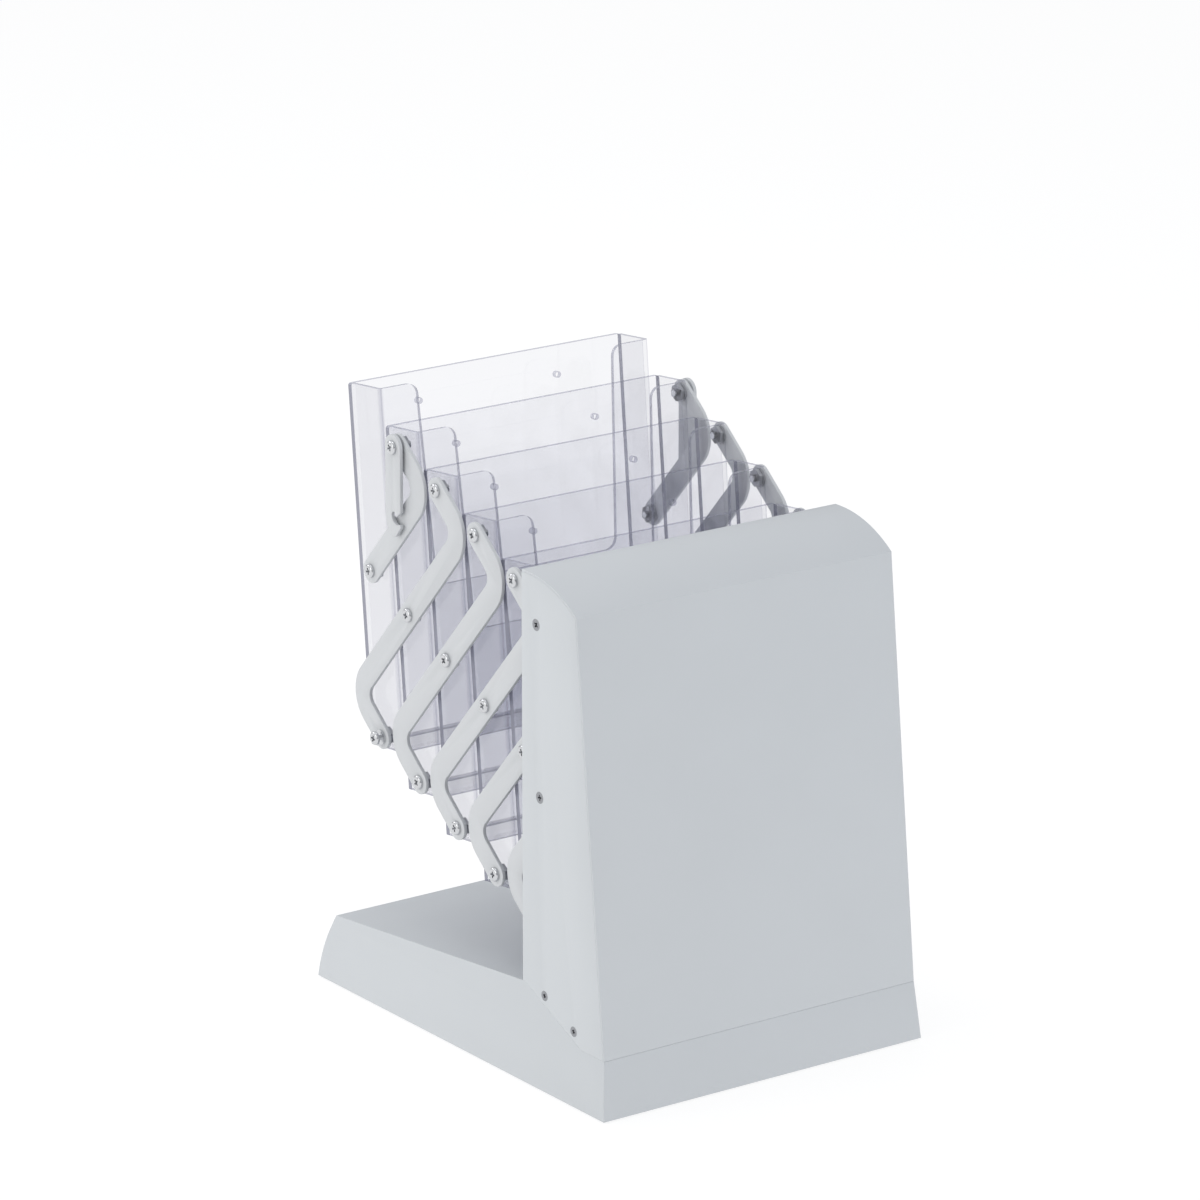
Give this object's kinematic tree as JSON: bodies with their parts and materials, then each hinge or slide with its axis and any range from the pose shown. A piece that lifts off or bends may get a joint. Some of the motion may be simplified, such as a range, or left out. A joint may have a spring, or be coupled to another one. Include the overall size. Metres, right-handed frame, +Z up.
{
  "type": "folding magazine rack",
  "caption": "Folding zig-zag magazine rack: clear A4 pockets on crossed flat bars, drawn shut behind a sheet-metal case on a low sloping base.",
  "frame": {"origin": "centre of the footprint, on the floor", "axes": "+Z up; -Y is the front, where the case stands and the pockets face; X across the width"},
  "size_m": [0.262, 0.336, 0.4268],
  "materials": {
    "case_paint": "satin powder coat, light grey",
    "base_paint": "satin powder coat, light grey",
    "bar_paint": "satin powder coat, light grey",
    "inner_steel": "plain painted steel",
    "clear_acrylic": "clear polished acrylic sheet",
    "zinc_steel": "bright zinc plated",
    "nut_steel": "dull zinc plated",
    "dark_nylon": "moulded black nylon",
    "foot_rubber": "moulded black rubber"
  },
  "bodies": {
    "stand": {"base_shell": "base_paint", "base_bottom_plate": "inner_steel", "base_feet": "foot_rubber", "case_front_cover": "case_paint", "case_side_left": "case_paint", "case_side_right": "case_paint", "case_base_angles": "inner_steel", "case_angle_screws": "zinc_steel", "case_pivot_plates": "inner_steel", "case_plate_screws": "zinc_steel", "case_pivot_studs": "zinc_steel", "case_nuts": "nut_steel"},
    "bars_1": {"bar_1_left": "bar_paint", "bar_1_right": "bar_paint"},
    "bars_2": {"bar_2_left": "bar_paint", "bar_2_right": "bar_paint"},
    "bars_3": {"bar_3_left": "bar_paint", "bar_3_right": "bar_paint"},
    "bars_4": {"bar_4_left": "bar_paint", "bar_4_right": "bar_paint"},
    "pocket_1": {"pocket_1_back": "clear_acrylic", "pocket_1_tray": "clear_acrylic", "pocket_1_floor": "clear_acrylic", "pocket_1_screws": "zinc_steel", "pocket_1_nuts": "nut_steel", "latch_studs": "zinc_steel"},
    "pocket_2": {"pocket_2_back": "clear_acrylic", "pocket_2_tray": "clear_acrylic", "pocket_2_floor": "clear_acrylic", "pocket_2_screws": "zinc_steel", "pocket_2_nuts": "nut_steel", "latch_bushes": "dark_nylon"},
    "pocket_3": {"pocket_3_back": "clear_acrylic", "pocket_3_tray": "clear_acrylic", "pocket_3_floor": "clear_acrylic", "pocket_3_screws": "zinc_steel", "pocket_3_nuts": "nut_steel"},
    "pocket_4": {"pocket_4_back": "clear_acrylic", "pocket_4_tray": "clear_acrylic", "pocket_4_floor": "clear_acrylic", "pocket_4_screws": "zinc_steel", "pocket_4_nuts": "nut_steel"},
    "pocket_5": {"pocket_5_back": "clear_acrylic", "pocket_5_tray": "clear_acrylic", "pocket_5_floor": "clear_acrylic", "pocket_5_screws": "zinc_steel", "pocket_5_nuts": "nut_steel"},
    "rear_half_bars": {"rear_half_bar_left": "bar_paint", "rear_half_bar_right": "bar_paint"},
    "case_half_bars": {"case_half_bar_left": "bar_paint", "case_half_bar_right": "bar_paint"},
    "latch_l": {"latch_left": "bar_paint"},
    "latch_r": {"latch_right": "bar_paint"}
  },
  "joints": [
    {"name": "unfold", "type": "hinge", "parent": "stand", "child": "bars_4", "pos_m": [0, -0.09418, 0.31674], "axis": [1, 0, 0], "range_deg": [0, 128.88]},
    {"name": "pocket_5_level", "type": "hinge", "parent": "bars_4", "child": "pocket_5", "pos_m": [0, -0.06066, 0.22253], "axis": [1, 0, 0], "range_deg": [-128.88, 0]},
    {"name": "pocket_4_level", "type": "hinge", "parent": "bars_4", "child": "pocket_4", "pos_m": [0, -0.02713, 0.12832], "axis": [1, 0, 0], "range_deg": [-128.88, 0]},
    {"name": "bars_3_swing", "type": "hinge", "parent": "pocket_5", "child": "bars_3", "pos_m": [0, -0.04968, 0.3365], "axis": [1, 0, 0], "range_deg": [0, 128.88]},
    {"name": "pocket_3_level", "type": "hinge", "parent": "bars_3", "child": "pocket_3", "pos_m": [0, 0.01737, 0.14808], "axis": [1, 0, 0], "range_deg": [-128.88, 0]},
    {"name": "bars_2_swing", "type": "hinge", "parent": "pocket_4", "child": "bars_2", "pos_m": [0, -0.00518, 0.35626], "axis": [1, 0, 0], "range_deg": [0, 128.88]},
    {"name": "pocket_2_level", "type": "hinge", "parent": "bars_2", "child": "pocket_2", "pos_m": [0, 0.06187, 0.16784], "axis": [1, 0, 0], "range_deg": [-128.88, 0]},
    {"name": "bars_1_swing", "type": "hinge", "parent": "pocket_3", "child": "bars_1", "pos_m": [0, 0.03932, 0.37602], "axis": [1, 0, 0], "range_deg": [0, 128.88]},
    {"name": "pocket_1_level", "type": "hinge", "parent": "bars_1", "child": "pocket_1", "pos_m": [0, 0.10637, 0.1876], "axis": [1, 0, 0], "range_deg": [-128.88, 0]},
    {"name": "rear_half_swing", "type": "hinge", "parent": "pocket_2", "child": "rear_half_bars", "pos_m": [0, 0.08382, 0.39578], "axis": [1, 0, 0], "range_deg": [0, 128.88]},
    {"name": "case_half_swing", "type": "hinge", "parent": "stand", "child": "case_half_bars", "pos_m": [0, -0.10515, 0.20277], "axis": [1, 0, 0], "range_deg": [0, 128.88]},
    {"name": "latch_left_swing", "type": "hinge", "parent": "pocket_2", "child": "latch_l", "pos_m": [0, 0.08382, 0.39578], "axis": [1, 0, 0], "range_deg": [-20, 80]},
    {"name": "latch_right_swing", "type": "hinge", "parent": "pocket_2", "child": "latch_r", "pos_m": [0, 0.08382, 0.39578], "axis": [1, 0, 0], "range_deg": [-20, 80]}
  ],
  "couplings": [
    {"joint": "pocket_5_level", "follows": "unfold", "ratio": -1},
    {"joint": "pocket_4_level", "follows": "unfold", "ratio": -1},
    {"joint": "bars_3_swing", "follows": "unfold", "ratio": 1},
    {"joint": "pocket_3_level", "follows": "unfold", "ratio": -1},
    {"joint": "bars_2_swing", "follows": "unfold", "ratio": 1},
    {"joint": "pocket_2_level", "follows": "unfold", "ratio": -1},
    {"joint": "bars_1_swing", "follows": "unfold", "ratio": 1},
    {"joint": "pocket_1_level", "follows": "unfold", "ratio": -1},
    {"joint": "rear_half_swing", "follows": "unfold", "ratio": 1},
    {"joint": "case_half_swing", "follows": "unfold", "ratio": 1}
  ]
}
